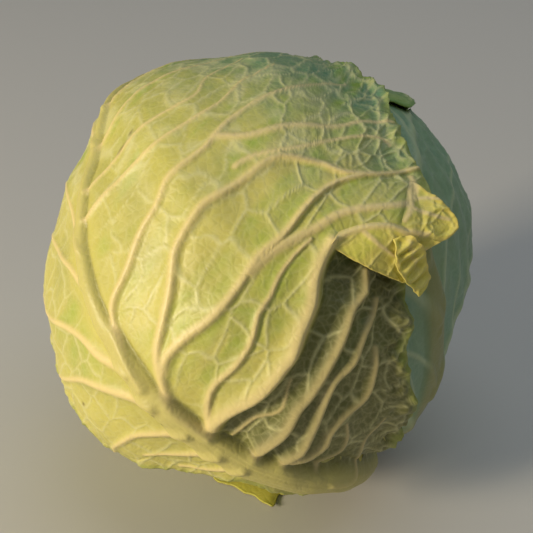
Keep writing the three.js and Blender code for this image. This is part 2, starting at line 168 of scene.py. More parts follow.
def border_distance(x, y, seed):
    """Distance to the nearest border of an irregular net, in cells, and a number for each cell."""
    base_x = np.floor(x)
    base_y = np.floor(y)
    best = np.full(x.shape, 9.0)
    second = np.full(x.shape, 9.0)
    best_at = np.zeros(x.shape + (2,))
    second_at = np.zeros(x.shape + (2,))
    for step_x in (-1, 0, 1):
        for step_y in (-1, 0, 1):
            cell_x = base_x + step_x
            cell_y = base_y + step_y
            seed_x = cell_x + 0.12 + 0.76 * draw(cell_x, cell_y, seed)
            seed_y = cell_y + 0.12 + 0.76 * draw(cell_x, cell_y, seed + 5)
            distance = np.hypot(seed_x - x, seed_y - y)
            here = np.stack([seed_x, seed_y], axis=-1)
            nearer = distance < best
            runner_up = (distance < second) & ~nearer
            second = np.where(nearer, best, np.where(runner_up, distance, second))
            second_at = np.where(runner_up[..., None], here, second_at)
            second_at = np.where(nearer[..., None], best_at, second_at)
            best = np.where(nearer, distance, best)
            best_at = np.where(nearer[..., None], here, best_at)
    apart = np.maximum(np.linalg.norm(second_at - best_at, axis=-1), 1e-6)
    number = draw(np.floor(best_at[..., 0]), np.floor(best_at[..., 1]), 3)
    return (second ** 2 - best ** 2) / (2 * apart), number


def spline(points, spacing=3.0):
    """Points along a smooth curve through the given ones."""
    points = np.asarray(points, dtype=float)
    padded = np.vstack([2 * points[0] - points[1], points, 2 * points[-1] - points[-2]])
    curve = []
    for i in range(len(points) - 1):
        p0, p1, p2, p3 = padded[i:i + 4]
        count = max(2, int(np.linalg.norm(p2 - p1) / spacing))
        for t in np.arange(count) / count:
            curve.append(0.5 * (2 * p1 + (p2 - p0) * t + (2 * p0 - 5 * p1 + 4 * p2 - p3) * t ** 2
                                + (3 * p1 - p0 - 3 * p2 + p3) * t ** 3))
    curve.append(points[-1])
    return np.array(curve)


def from_segment(a, b, start, step):
    """For each place: distance to a segment, how far along it the nearest point is, and its side."""
    off_a = a - start[0]
    off_b = b - start[1]
    t = np.clip((off_a * step[0] + off_b * step[1]) / step.dot(step), 0, 1)
    distance = np.hypot(off_a - t * step[0], off_b - t * step[1])
    return distance, t, np.sign(step[1] * off_a - step[0] * off_b)


def along_path(a, b, points):
    """For each place: distance to a path, side of it (1 is its right), and share of its length."""
    path = spline(points)
    starts = path[:-1]
    steps = path[1:] - starts
    lengths = np.linalg.norm(steps, axis=1)
    run = np.concatenate([[0], np.cumsum(lengths)])
    best = np.full(a.shape, 1e9)
    side = np.zeros(a.shape)
    share = np.zeros(a.shape)
    for start, step, length, before in zip(starts, steps, lengths, run):
        distance, t, turned = from_segment(a, b, start, step)
        nearer = distance < best
        best = np.where(nearer, distance, best)
        side = np.where(nearer, turned, side)
        share = np.where(nearer, (before + t * length) / run[-1], share)
    return best, side, share


class Outline:
    """A leaf's edge as the distance from its hub for any angle, with fine raggedness."""

    def __init__(self, hub, corners, ragged=0.6, seed=1):
        self.hub = hub
        self.corners = np.asarray(corners, dtype=float)
        offsets = self.corners - hub
        angles = np.radians(np.arange(0, 360, 0.25))
        rays = np.stack([np.cos(angles), np.sin(angles)], axis=1)
        reach = np.zeros(len(angles))
        for (x0, y0), (x1, y1) in zip(offsets, np.roll(offsets, -1, axis=0)):
            before = rays[:, 1] * x0 - rays[:, 0] * y0
            after = rays[:, 1] * x1 - rays[:, 0] * y1
            ahead = (x0 + x1) * rays[:, 0] + (y0 + y1) * rays[:, 1] > 0
            hit = (before >= 0) & (after < 0) & ahead & (reach == 0)
            apart = np.where(hit, before - after, 1)
            reach = np.where(hit, (x0 * y1 - x1 * y0) / apart, reach)
        reach = blurred(reach, 7)
        edge_x = reach * rays[:, 0]
        edge_y = reach * rays[:, 1]
        reach += ragged * (value_noise(edge_x / 9, edge_y / 9, seed)
                           + 0.6 * value_noise(edge_x / 4, edge_y / 4, seed + 5)
                           + 0.25 * value_noise(edge_x / 1.9, edge_y / 1.9, seed + 9))
        lowest = np.min([np.roll(reach, turn) for turn in range(-48, 49, 4)], axis=0)
        self.angles = np.append(angles, 2 * math.pi)
        self.reaches = np.append(reach, reach[0])
        calm = blurred(lowest, 48)
        self.calm = np.append(calm, calm[0])

    def reach(self, angle):
        return np.interp(np.mod(angle, 2 * math.pi), self.angles, self.reaches)

    def ring(self, angle, share):
        """Where a ring of mesh points passes: smooth inside, and along the edge at a share of 1."""
        calm = np.interp(np.mod(angle, 2 * math.pi), self.angles, self.calm)
        return share * (calm + (self.reach(angle) - calm) * smooth(0.5, 1.0, share))

    def share(self, a, b):
        """How far out a place lies: 0 at the hub, 1 at the edge."""
        a = a - self.hub[0]
        b = b - self.hub[1]
        return np.hypot(a, b) / self.reach(np.arctan2(b, a))

    def inside(self, a, b):
        """Millimetres from a place to the nearest side of the outline."""
        nearest = np.full(a.shape, 1e9)
        for start, end in zip(self.corners, np.roll(self.corners, -1, axis=0)):
            nearest = np.minimum(nearest, from_segment(a, b, start, end - start)[0])
        return np.where(self.share(a, b) > 1, 0, nearest)


def blurred(values, reach):
    """A closed row of numbers, each averaged with its neighbours out to a reach."""
    weights = 1 + np.cos(math.pi * np.arange(-reach, reach + 1) / (reach + 1))
    padded = np.concatenate([values[-reach:], values, values[:reach]])
    return np.convolve(padded, weights / weights.sum(), mode="valid")


def ring_start(ring):
    return 1 + 3 * ring * (ring - 1) if ring else 0


def disc_faces(rings):
    """Triangles of a disc whose ring k has 6k points, facing out."""
    faces = []
    for ring in range(1, rings + 1):
        sector, i = np.divmod(np.arange(6 * ring), ring)
        inner_count = max(1, 6 * (ring - 1))
        near = ring_start(ring - 1) + (sector * (ring - 1) + i) % inner_count
        far = ring_start(ring) + sector * ring + i
        far_next = ring_start(ring) + (sector * ring + i + 1) % (6 * ring)
        faces.append(np.stack([near, far, far_next], axis=1))
        keep = i < ring - 1
        near_next = ring_start(ring - 1) + (sector * (ring - 1) + i + 1) % inner_count
        faces.append(np.stack([near, far_next, near_next], axis=1)[keep])
    return np.concatenate(faces)


def disc_places(outline, rings, out_to=1.0):
    """Places of the disc's points, out to a share of the way to the edge."""
    a = [np.array([outline.hub[0]])]
    b = [np.array([outline.hub[1]])]
    for ring in range(1, rings + 1):
        angle = 2 * math.pi * np.arange(6 * ring) / (6 * ring)
        distance = outline.ring(angle, out_to * ring / rings)
        a.append(outline.hub[0] + distance * np.cos(angle))
        b.append(outline.hub[1] + distance * np.sin(angle))
    return np.concatenate(a), np.concatenate(b)


def strip_faces(first, first_count, second, second_count):
    """Triangles between an edge ring and the ring inside it, with as many points or half, facing in."""
    j = np.arange(second_count)
    step = first_count // second_count
    j_next = (j + 1) % second_count
    here = first + step * j
    there = first + (step * (j + 1)) % first_count
    if step == 1:
        return np.concatenate([np.stack([here, second + j, there], axis=1),
                               np.stack([there, second + j, second + j_next], axis=1)])
    middle = here + 1
    return np.concatenate([np.stack([here, second + j, middle], axis=1),
                           np.stack([middle, second + j, second + j_next], axis=1),
                           np.stack([middle, second + j_next, there], axis=1)])


UNDER_SHARES = (1.0, 0.985, 0.96, 0.92, 0.86)
EDGE_THICKNESS = 0.6
UNDER_DEPTH = 3.0


def leaf_mesh(name, chart, outline, rings, surface, under_depth=UNDER_DEPTH):
    """A closed leaf: a fine outer face from surface(a, b), and a coarser inner face joined at the edge.

    surface returns the radius in millimetres and a dictionary of masks for the material.
    """
    a, b = disc_places(outline, rings)
    radius, masks = surface(a, b)
    points = [chart.directions(a, b) * radius[:, None]]
    faces = [disc_faces(rings)]
    total = len(a)
    count = 6 * rings
    ring_first = ring_start(rings)
    previous, previous_count = ring_first, count
    for share in UNDER_SHARES:
        if share < 0.97 and count % 2 == 0 and count // 6 > 12:
            count //= 2
        angle = 2 * math.pi * np.arange(count) / count
        distance = outline.ring(angle, share)
        under_a = outline.hub[0] + distance * np.cos(angle)
        under_b = outline.hub[1] + distance * np.sin(angle)
        under_radius, _ = surface(under_a, under_b)
        depth = EDGE_THICKNESS + (under_depth - EDGE_THICKNESS) * smooth(1.0, 0.86, share)
        points.append(chart.directions(under_a, under_b) * (under_radius - depth)[:, None])
        faces.append(strip_faces(previous, previous_count, total, count))
        previous, previous_count = total, count
        total += count
    inner_rings = count // 6
    under_a, under_b = disc_places(outline, inner_rings, UNDER_SHARES[-1])
    keep = ring_start(inner_rings)
    under_a = under_a[:keep]
    under_b = under_b[:keep]
    under_radius, _ = surface(under_a, under_b)
    points.append(chart.directions(under_a, under_b) * (under_radius - under_depth)[:, None])
    inner_faces = disc_faces(inner_rings)
    on_ring = inner_faces >= keep
    inner_faces = np.where(on_ring, previous + inner_faces - keep, total + inner_faces)
    faces.append(inner_faces[:, ::-1])
    points = np.concatenate(points)
    mesh = mesh_from(name, points, np.concatenate(faces))
    for label, values in masks.items():
        full = np.zeros(len(points))
        full[:len(values)] = values
        attribute = mesh.attributes.new(label, "FLOAT", "POINT")
        attribute.data.foreach_set("value", full.astype(np.float32))
    return mesh


def mesh_from(name, points, faces):
    """A smooth-shaded triangle mesh in metres, from millimetres about the head's centre."""
    mesh = bpy.data.meshes.new(name)
    placed = (points + np.array(HEAD_CENTRE)) * MM
    mesh.vertices.add(len(placed))
    mesh.vertices.foreach_set("co", placed.astype(np.float32).ravel())
    mesh.loops.add(faces.size)
    mesh.loops.foreach_set("vertex_index", faces.astype(np.int32).ravel())
    mesh.polygons.add(len(faces))
    mesh.polygons.foreach_set("loop_start", np.arange(0, faces.size, 3, dtype=np.int32))
    mesh.update(calc_edges=True)
    mesh.shade_smooth()
    return mesh


def add_piece(name, mesh, material, node):
    piece = bpy.data.objects.new(name, mesh)
    bpy.context.collection.objects.link(piece)
    mesh.materials.append(material)
    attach(piece, "root")
    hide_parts(node)
    return piece


# Front leaf: paths in millimetres on the view's chart, from the midrib outward
FRONT_OUTLINE = [
    (84, -125), (76, -108), (72, -91), (77, -76), (75, -64), (66, -49), (60, -31), (62, -20), (60, -4),
    (60, 10), (62, 22), (62, 32), (60, 40), (59, 47), (56, 54), (58, 60), (55, 66), (56, 73), (58, 82),
    (55.5, 91), (50.5, 102), (45, 113), (38, 138), (20, 164), (-20, 176), (-65, 172), (-110, 148),
    (-150, 90), (-165, 50), (-160, 10), (-148, -25), (-128, -50), (-112, -60), (-104, -74), (-89, -90),
    (-83, -96), (-76, -102), (-67, -103), (-58, -99), (-46, -99), (-33, -101), (-20, -101), (-9, -97),
    (0, -102), (10, -111), (20, -119), (36, -127), (58, -137), (72, -131),
]
FRONT_MIDRIB = [
    (72, -130), (54, -116), (40, -105.5), (25, -100.5), (12, -93), (-1, -86), (-12, -78), (-22, -69.5),
    (-31, -59), (-40, -48.5), (-48, -37), (-55, -28), (-61, -20.5), (-66, -12.5), (-70, -4), (-74, 5),
    (-77, 14), (-78.5, 26), (-78.5, 40), (-78, 53), (-77, 75), (-76, 100), (-70, 126),
]
FRONT_RIB_WIDTH = [
    (0, 24), (0.12, 21), (0.25, 17), (0.35, 13.6), (0.43, 11.4), (0.5, 9.4), (0.6, 7.4), (0.7, 6.4),
    (1, 4),
]

FRONT_RIB_HEIGHT = (4.4, 1.5)


class Vein:
    """A raised vein: its path, its width and height in millimetres at its foot and tip, and its lean.

    A leaning vein rises gently on its left and drops sharply on its right, where the blade lies deepest.
    """

    def __init__(self, path, width, height, lean=0.0):
        self.path = path
        self.width = width
        self.height = height
        self.lean = lean


STRONG_WIDTH = (5.0, 2.4)
STRONG_HEIGHT = (1.5, 0.7)
MIDDLE_WIDTH = (3.9, 1.8)
MIDDLE_HEIGHT = (1.0, 0.5)
THIN_WIDTH = (2.5, 1.3)
THIN_HEIGHT = (0.6, 0.3)
BROAD_WIDTH = (5.4, 2.4)
BROAD_HEIGHT = (1.6, 0.8)


def leaning(path, width, height):
    return Vein(path, width, height, lean=1.0)


FRONT_VEINS = [
    Vein([(-76, 37), (-54, 56), (-39, 66), (-26, 76), (-23, 91), (-8, 112)], THIN_WIDTH, THIN_HEIGHT),
    Vein([(-75, 24), (-66, 32), (-54, 42), (-40, 51), (-27, 61), (-15, 72), (-7, 85), (8, 100)],
         THIN_WIDTH, MIDDLE_HEIGHT),
    leaning([(-43, -42), (-52, -26), (-56, -16), (-55, -9), (-50, 1), (-46, 11), (-42, 19), (-37, 26),
             (-33, 35), (-29, 39), (-19, 48), (-16, 53), (-11, 60), (-2, 69), (5, 74), (13, 79), (20, 82),
             (29, 86), (41, 89)], MIDDLE_WIDTH, (1.4, 0.7)),
    Vein([(-16, 53), (-3, 53), (13, 58), (31, 59), (42, 62), (55, 62)], MIDDLE_WIDTH, MIDDLE_HEIGHT),
    Vein([(-8, 40), (-2, 44), (18, 49), (31, 53), (43, 55), (49, 54), (52, 51)], THIN_WIDTH, THIN_HEIGHT),
    leaning([(-19, -64), (-27, -56), (-33, -49), (-35, -38), (-36, -28), (-34, -18), (-31, -6), (-30, 2),
             (-29, 9), (-26, 15), (-22, 21), (-18, 26), (-13, 29), (-7, 33), (-2, 37), (3, 41), (9, 44),
             (17, 43), (25, 41), (31, 38), (40, 37), (51, 38), (59, 40)], STRONG_WIDTH, (1.7, 1.2)),
    leaning([(-35, -36), (-32, -29), (-25, -22), (-17, -16), (-11, -10), (-5, -2), (1, 7), (7, 12),
             (11, 16), (17, 24), (23, 30), (29, 34), (39, 37)], STRONG_WIDTH, (1.5, 1.1)),
    Vein([(-2, 2), (6, 9), (15, 14), (21, 17), (27, 21), (33, 23), (42, 24), (51, 25), (55, 28),
          (56, 32), (56, 36)], STRONG_WIDTH, MIDDLE_HEIGHT),
    leaning([(-19, -59), (-18, -47), (-15, -40), (-7, -32), (-2, -24), (0, -17), (1, -13), (5, -7),
             (8, 0), (13, 7), (19, 13)], MIDDLE_WIDTH, (1.3, 0.8)),
    leaning([(-18, -60), (-11, -53), (-1, -46), (5, -40), (10, -33), (13, -29), (16, -20), (20, -10),
             (21, -1), (23, 5), (26, 12)], (7.4, 5.4), (2.5, 2.3)),
    Vein([(-10, -66), (0, -56), (6, -54), (10, -50), (12, -42), (13, -39)], THIN_WIDTH, MIDDLE_HEIGHT),
    leaning([(0, -75), (6, -69), (12, -62), (16, -52), (20, -47), (25, -38), (32, -23), (36, -12),
             (41, -6), (41, 2)], (7.0, 3.6), (2.7, 1.5)),
    leaning([(12, -80), (19, -75), (22, -67), (24, -60), (26, -53), (30, -41), (37, -33), (41, -22),
             (45, -15), (46, -9)], (6.4, 3.2), (2.5, 1.2)),
    leaning([(15, -80), (24, -79), (30, -73), (31, -67), (36, -59), (45, -50), (47, -38), (46, -28)],
            (6.2, 3.0), (2.3, 1.1)),
    leaning([(28, -90), (39, -86), (42, -81), (42, -73), (40, -66)], MIDDLE_WIDTH, MIDDLE_HEIGHT),
    leaning([(36, -100), (46, -104), (52, -101), (54, -91), (53, -81), (59, -66)],
            MIDDLE_WIDTH, MIDDLE_HEIGHT),
    Vein([(-49, -37), (-64, -33), (-75, -27), (-90, -23), (-112, -20), (-136, -10)],
         BROAD_WIDTH, (1.5, 0.7)),
    Vein([(-40, -50), (-52, -48), (-65, -47), (-77, -46), (-94, -51), (-112, -56)],
         BROAD_WIDTH, BROAD_HEIGHT),
    Vein([(-28, -63), (-44, -67), (-56, -72), (-70, -84), (-78, -96)], BROAD_WIDTH, BROAD_HEIGHT),
    Vein([(-16, -75), (-34, -80), (-54, -86)], BROAD_WIDTH, BROAD_HEIGHT),
    Vein([(-6, -83), (-20, -90), (-38, -94)], STRONG_WIDTH, STRONG_HEIGHT),
    Vein([(-74, -4), (-83, 3), (-95, 9), (-120, 24), (-146, 34)], MIDDLE_WIDTH, MIDDLE_HEIGHT),
    Vein([(-76, 11), (-80, 17), (-89, 31), (-110, 52), (-140, 72)], MIDDLE_WIDTH, MIDDLE_HEIGHT),
    Vein([(-78, 62), (-96, 92), (-112, 118), (-118, 134)], MIDDLE_WIDTH, MIDDLE_HEIGHT),
    Vein([(-76, 82), (-64, 100), (-52, 112), (-20, 140), (4, 160)], THIN_WIDTH, MIDDLE_HEIGHT),
    Vein([(-77, 58), (-60, 80), (-42, 98), (-24, 112), (0, 130), (24, 142)], THIN_WIDTH, THIN_HEIGHT),
]


def ridges(a, b, veins):
    """Of the raised veins: their height, their tint mask, and how far the blade lies below their feet."""
    height = np.zeros(a.shape)
    mask = np.zeros(a.shape)
    groove = np.zeros(a.shape)
    sunk = np.ones(a.shape)
    for vein in veins:
        distance, side, share = along_path(a, b, vein.path)
        half = (vein.width[0] + (vein.width[1] - vein.width[0]) * share) / 2
        crest = vein.height[0] + (vein.height[1] - vein.height[0]) * share
        lean = vein.lean * side * smooth(0, 0.05, share) * smooth(1, 0.93, share)
        profile = np.exp(-(distance / (half * (1 - 0.38 * lean))) ** 2)
        height = np.maximum(height, crest * profile)
        mask = np.maximum(mask, np.exp(-(distance / (half * (0.86 - 0.2 * lean))) ** 3))
        beside = np.exp(-((distance - 1.3 * half) / (0.7 * half)) ** 2) * np.maximum(lean, 0)
        groove = np.maximum(groove, 0.22 * crest * beside)
        weight = 0.35 + 0.65 * smooth(0.6, 2.0, crest)
        sunk = sunk * (1 - weight * np.exp(-(distance / (6.5 - 3.0 * lean)) ** 2))
    return height - groove * (1 - mask), mask, sunk


def midrib_ridge(a, b, path, width, height, power=2.8):
    """A broad rounded rib: its height, its mask, distance from it, and the groove along its right side.

    width holds pairs of a share of the rib's length and its width there.
    """
    distance, side, share = along_path(a, b, path)
    half = np.interp(share, [at for at, _ in width], [across for _, across in width]) / 2
    crest = height[0] + (height[1] - height[0]) * share ** 0.7
    profile = (1 - np.clip(distance / (1.12 * half), 0, 1) ** power) ** 0.8
    lines = 0.05 * crest * value_noise(side * distance * 1.3, share * 9, 77) * profile
    ends = smooth(0, 0.03, share) * smooth(1, 0.9, share)
    beside = np.exp(-((distance - 1.15 * half) / (0.9 + 0.12 * half)) ** 2) * (side > 0) * ends
    striated = 0.86 + 0.14 * value_noise(side * distance * 1.4, share * 7, 78)
    mask = np.exp(-(distance / (0.98 * half)) ** 8) * striated
    return crest * profile + lines, mask, distance, 0.18 * crest * beside


def net(a, b, cell, line, seed, stretch=1.25, lean=0.9):
    """A raised irregular net: its line mask, its distance in millimetres, and a number a cell."""
    u = (a * math.cos(lean) + b * math.sin(lean)) / (cell * stretch)
    v = (-a * math.sin(lean) + b * math.cos(lean)) / cell
    u = u + 0.22 * value_noise(u * 1.7, v * 1.7, seed + 20)
    v = v + 0.22 * value_noise(u * 1.7 + 9, v * 1.7, seed + 21)
    border, number = border_distance(u, v, seed)
    distance = border * cell
    return np.exp(-(distance / line) ** 2), distance, number


# The vein above the shaded part of the front leaf, below which the flap overhangs
FOLD_PATH = [(20, 7), (26, 12), (31, 15), (38, 17), (45, 17), (51, 15), (57, 13)]
FOLD_LIFT = 5.4
ABOVE_FOLD = 15.0
BELOW_FOLD = 3.0


def fold_lift(a, b):
    """Lift of the blade along the fold, gentle above it and steep below, and the depth below the fold."""
    distance, side, share = along_path(a, b, FOLD_PATH)
    crest = FOLD_LIFT * smooth(0.0, 0.6, share)
    reach = np.where(side > 0, BELOW_FOLD, ABOVE_FOLD)
    return crest * np.exp(-(distance / reach) ** 2), crest, distance * np.where(side > 0, 1, -1)


def hanging(crest, below):
    """Lift of the flap and its tail, which go on past the fold and sink slowly."""
    return crest * np.exp(-(np.minimum(below, 0) / ABOVE_FOLD) ** 2) * (1 - 0.45 * smooth(4, 20, below))


# The line of the strong vein that bounds the shaded, corrugated part
SHADE_BORDER = [
    (94, -150), (72, -130), (54, -116), (40, -105), (25, -100), (12, -93), (-1, -86), (-12, -78),
    (-19, -71), (-16, -61), (-10, -54), (-1, -47), (5, -41), (11, -33), (15, -27), (18, -20), (22, -10),
    (23, -1), (25, 5), (28, 12), (34, 24),
]


def shaded_part(a, b):
    """1 in the corrugated part at the lower right: right of the strongest vein and below the fold."""
    distance, side, _ = along_path(a, b, SHADE_BORDER)
    beside = smooth(-0.5, 3.5, distance * side)
    return beside * smooth(-138, -112, b + 0.35 * a) * smooth(0, 5, 15 + 0.05 * a - b)


front_outline = Outline((0.0, 0.0), FRONT_OUTLINE, ragged=0.8, seed=2)

# The part of the front leaf that overhangs at its right: it ends in a rounded tip
FLAP_OUTLINE = [
    (64, 12.5), (66.5, 15.5), (66, 19.5), (63.5, 23.5), (61, 27), (58.5, 30), (56.5, 33.5), (53, 35.5),
    (49, 36), (40, 27), (30, 18), (25, 11), (31.5, 7), (40.5, 2), (48.5, -1), (53, -2.5), (55, 0),
    (56.5, 5), (58, 9), (61.5, 11.5),
]
flap_outline = Outline((54.0, 14.0), FLAP_OUTLINE, ragged=0.3, seed=7)
FLAP_SEAM = [(47, 6), (48, 14), (50, 22), (53, 30), (58, 40)]
FLAP_VEINS = [
    Vein([(26, 12), (31, 15), (38, 17), (45, 17), (51, 15), (57, 14)], (3.6, 2.2), (1.0, 0.6)),
    Vein([(56, 36), (54, 30), (53, 24), (50, 19)], (3.0, 2.2), (0.9, 0.6)),
    Vein([(52, 24), (58, 21), (64, 19)], (2.4, 1.4), (0.7, 0.3)),
    Vein([(53, 27), (58, 27), (63, 26)], (2.2, 1.2), (0.6, 0.3)),
    Vein([(46, 17), (52, 13), (57, 9), (60, 8)], (2.4, 1.6), (0.7, 0.4)),
    Vein([(36, 16), (41, 11), (48, 7)], (2.2, 1.2), (0.5, 0.3)),
]
FLAP_TILT = 0.56
FLAP_STAND = 4.2
TIP_DISH = (61.5, 18.0)
TIP_DISH_SIZE = 5.0

# Small dark marks: place, half length and half width in millimetres
MARKS = [
    (-58, 54, 3.2, 0.7), (-53, 60, 1.6, 0.8), (-41, -55, 1.8, 0.8), (-84, -62, 1.4, 1.0),
    (-38, -59, 0.8, 0.7),
]

# The raised lobe at the front leaf's upper right corner
LOBE = (47.0, 104.0)
LOBE_HEIGHT = 2.2

# How deep the blade lies between veins: anywhere, and more where it is shaded and at the upper right
TROUGH = 0.7
SHADED_TROUGH = 3.1
UPPER_RIGHT_TROUGH = 0.8
SHADED_DROP = 1.4
COVERED_DROP = 1.5

# What the materials read at each point of a leaf, from 0 to 1
LABELS = ("vein", "rib", "net", "green", "streak", "shade", "rim", "mark")


def all_masks(places, **given):
    """The masks by label: the given ones, and nought for the others."""
    blank = np.zeros(places.shape)
    return {label: given.get(label, blank) for label in LABELS}


def beyond_seam(a, b):
    """Millimetres to the right of the line where the flap leaves the blade."""
    distance, side, _ = along_path(a, b, FLAP_SEAM)
    return distance * side


def front_relief(a, b, on_flap=False):
    """Height over the front leaf's layer and masks: of the blade, or of the flap that goes on from it."""
    directions = FRONT.directions(a, b)
    height = 1.0 * billow(directions, 0.4)
    rib, rib_mask, rib_distance, rib_groove = midrib_ridge(
        a, b, FRONT_MIDRIB, FRONT_RIB_WIDTH, FRONT_RIB_HEIGHT, 2.3)
    vein, vein_mask, sunk = ridges(a, b, FRONT_VEINS)
    lift, crest, below = fold_lift(a, b)
    shade = shaded_part(a, b) * (1 - np.clip(1.1 * rib_mask, 0, 1))
    if on_flap:
        past_fold = smooth(0, 2, below)
        flap_vein, flap_mask, _ = ridges(a, b, FLAP_VEINS)
        vein = np.maximum(vein * (1 - past_fold), flap_vein)
        vein_mask = np.maximum(vein_mask * (1 - past_fold), flap_mask)
        sunk = sunk * (1 - past_fold) + past_fold
        lift = hanging(crest, below)
        shade = np.zeros(a.shape)
    sunk = sunk * (1 - np.exp(-(rib_distance / 9) ** 2))
    inside = front_outline.inside(a, b)
    right = smooth(5, 40, a)
    upper_right = right * smooth(22, 50, b) * smooth(75, 15, inside)
    blade = 1 - np.maximum(vein_mask, rib_mask)
    far = smooth(70, 150, np.hypot(a, b))
    coarse, coarse_distance, number = net(a, b, 12.0, 0.55 + 0.35 * far, 4, stretch=1.5)
    fine, _, _ = net(a, b, 5.2, 0.36 + 0.3 * far, 11, stretch=1.2, lean=0.5)
    pucker, pucker_distance, pucker_number = net(a, b, 7.0, 0.6, 24, stretch=1.3, lean=0.7)
    from_rib = smooth(4, 18, rib_distance)
    height += rib - rib_groove + vein + lift
    height -= (TROUGH + SHADED_TROUGH * shade + UPPER_RIGHT_TROUGH * upper_right) * sunk
    height += blade * from_rib * (0.32 * coarse + 0.07 * fine)
    height += blade * from_rib * 0.24 * smooth(0, 5, coarse_distance) * (2 * number - 0.6)
    crumple = upper_right + 0.3 * shade + 0.4 * smooth(26, 0, inside) * from_rib
    puffed = 0.9 * smooth(0, 3.0, pucker_distance) * (1.6 * pucker_number - 0.8)
    height += blade * crumple * (0.5 * pucker + puffed)
    height += 0.35 * fractal(a / 14, b / 14, 31) + (1.0 + 0.8 * shade) * fractal(a / 30, b / 30, 33)
    height -= SHADED_DROP * shade
    near_flap = smooth(34, 58, a) * smooth(4, 16, b) * smooth(43, 31, b)
    height += FLAP_STAND * near_flap
    if not on_flap:
        covered = smooth(1.04, 0.92, flap_outline.share(a, b)) * smooth(-2, 5, beyond_seam(a, b))
        lower_right = smooth(30, 50, a) * smooth(4, -18, b) * smooth(-118, -90, b)
        right_margin = smooth(30, 50, a) * smooth(30, 42, b)
        waves = value_noise(a / 8.5, b / 8.5, 40) + 0.6 * value_noise(a / 3.6, b / 3.6, 41)
        edge = smooth(8 + 9 * lower_right, 0, inside) * (1 - covered)
        height += edge * (1.0 + 3.4 * lower_right + 0.8 * right_margin)
        height += edge * (0.7 + 2.6 * lower_right + 1.3 * right_margin) * waves
        height -= COVERED_DROP * covered
        height += LOBE_HEIGHT * np.exp(-((a - LOBE[0]) / 8) ** 2 - ((b - LOBE[1]) / 6) ** 2)
    mottle = fractal(a / 9, b / 9, 50)
    green = smooth(40, 108, 0.6 * a + 0.9 * b + 18 * mottle)
    along = 0.64 * a + 0.77 * b
    across = 0.77 * a - 0.64 * b
    top_left = smooth(20, 60, b) * smooth(20, -20, a)
    patches = smooth(-0.1 - 0.1 * top_left, 0.55 - 0.2 * top_left, fractal(across / 11, along / 34, 52))
    patches = np.maximum(patches, 0.15 * top_left) * (0.4 + 0.6 * smooth(0, 5, coarse_distance))
    bloom = 0.75 * smooth(-0.2, 0.5, fractal(a / 8, b / 8, 57)) * smooth(15, 50, b) * smooth(45, 5, a)
    patches = patches * smooth(-70, -30, b) * (0.55 + 0.45 * smooth(25, 60, b))
    marks = np.zeros(a.shape)
    for mark_a, mark_b, length, width in MARKS:
        mark_along = (a - mark_a) * 0.64 + (b - mark_b) * 0.77
        mark_across = (a - mark_a) * 0.77 - (b - mark_b) * 0.64
        marks = np.maximum(marks, np.exp(-(mark_along / length) ** 2 - (mark_across / width) ** 2))
    # Painted shade: the shade mask darkens the corrugated lower right part (partly its own olive tone), the
    # midrib's lower end (foot) and the crease along the midrib's right side (crevice); the veins in the
    # corrugated part are dimmed as painted shade too
    foot = smooth(15, 75, a) * rib_mask
    painted_crevice_shade = 0.6 * np.clip(2.5 * rib_groove, 0, 1) * (1 - rib_mask)
    netted = (coarse * 0.8 + fine * 0.25) * from_rib + pucker * crumple * 0.4 + bloom
    masks = all_masks(
        a,
        vein=vein_mask * (1 - 0.3 * shade),
        rib=rib_mask - 0.3 * foot,
        net=np.clip(netted, 0, 1) * blade,
        green=np.clip(green, 0, 1),
        streak=patches * blade * from_rib,
        shade=np.maximum(np.maximum(shade, foot), painted_crevice_shade),
        rim=smooth(4.5, 0, inside + 2 * mottle),
        mark=marks)
    return height, masks


def front_surface(a, b):
    """Radius and masks of the front leaf's outer face."""
    height, masks = front_relief(a, b)
    return (FRONT_LAYER + height) * swell(FRONT.directions(a, b)), masks


def flap_surface(a, b):
    """Radius and masks of the flap, which leaves the blade along the fold and the seam."""
    height, masks = front_relief(a, b, on_flap=True)
    base, _ = front_relief(a, b)
    _, _, below = fold_lift(a, b)
    beyond = beyond_seam(a, b)
    inside = flap_outline.inside(a, b)
    wrinkle, wrinkle_distance, number = net(a, b, 5.0, 0.5, 14)
    loose = smooth(0, 10, beyond)
    rolled = smooth(1.8, 0, inside)
    dish = np.hypot(a - TIP_DISH[0], b - TIP_DISH[1]) / TIP_DISH_SIZE
    height += 0.25 + 0.5 * loose + FLAP_TILT * np.maximum(a - 56, 0)
    height += loose * (0.2 * wrinkle + 0.7 * smooth(0, 2.4, wrinkle_distance) * (number - 0.5))
    height += 0.5 * np.exp(-((dish - 1) / 0.16) ** 2) - 0.5 * smooth(1, 0, dish)
    height += 0.4 * rolled * (1 + 0.8 * value_noise(a / 2.5, b / 2.5, 62)) + 0.5 * smooth(0, 8, below)
    free = np.maximum(smooth(-3, 0.5, below), smooth(-3, 4, beyond))
    height = (base - 0.5) * (1 - free) + height * free
    # The flap's yellow, fed to the shade mask: partly the leaf's own tone, partly painted light, brightened
    # for the light the raised flap catches
    yellow_and_painted_light = np.maximum(smooth(-6, 18, beyond), smooth(-4, 3, below))
    yellow_and_painted_light = yellow_and_painted_light * (1 - 0.5 * smooth(0, 8, dish * TIP_DISH_SIZE - 14))
    masks["green"] = masks["green"] * (1 - 0.8 * yellow_and_painted_light)
    masks["net"] = np.maximum(masks["net"] * (1 - loose), 0.6 * wrinkle * loose)
    masks["shade"] = yellow_and_painted_light
    masks["rim"] = smooth(1.3, 0, inside)
    return (FRONT_LAYER + height) * swell(FRONT.directions(a, b)), masks


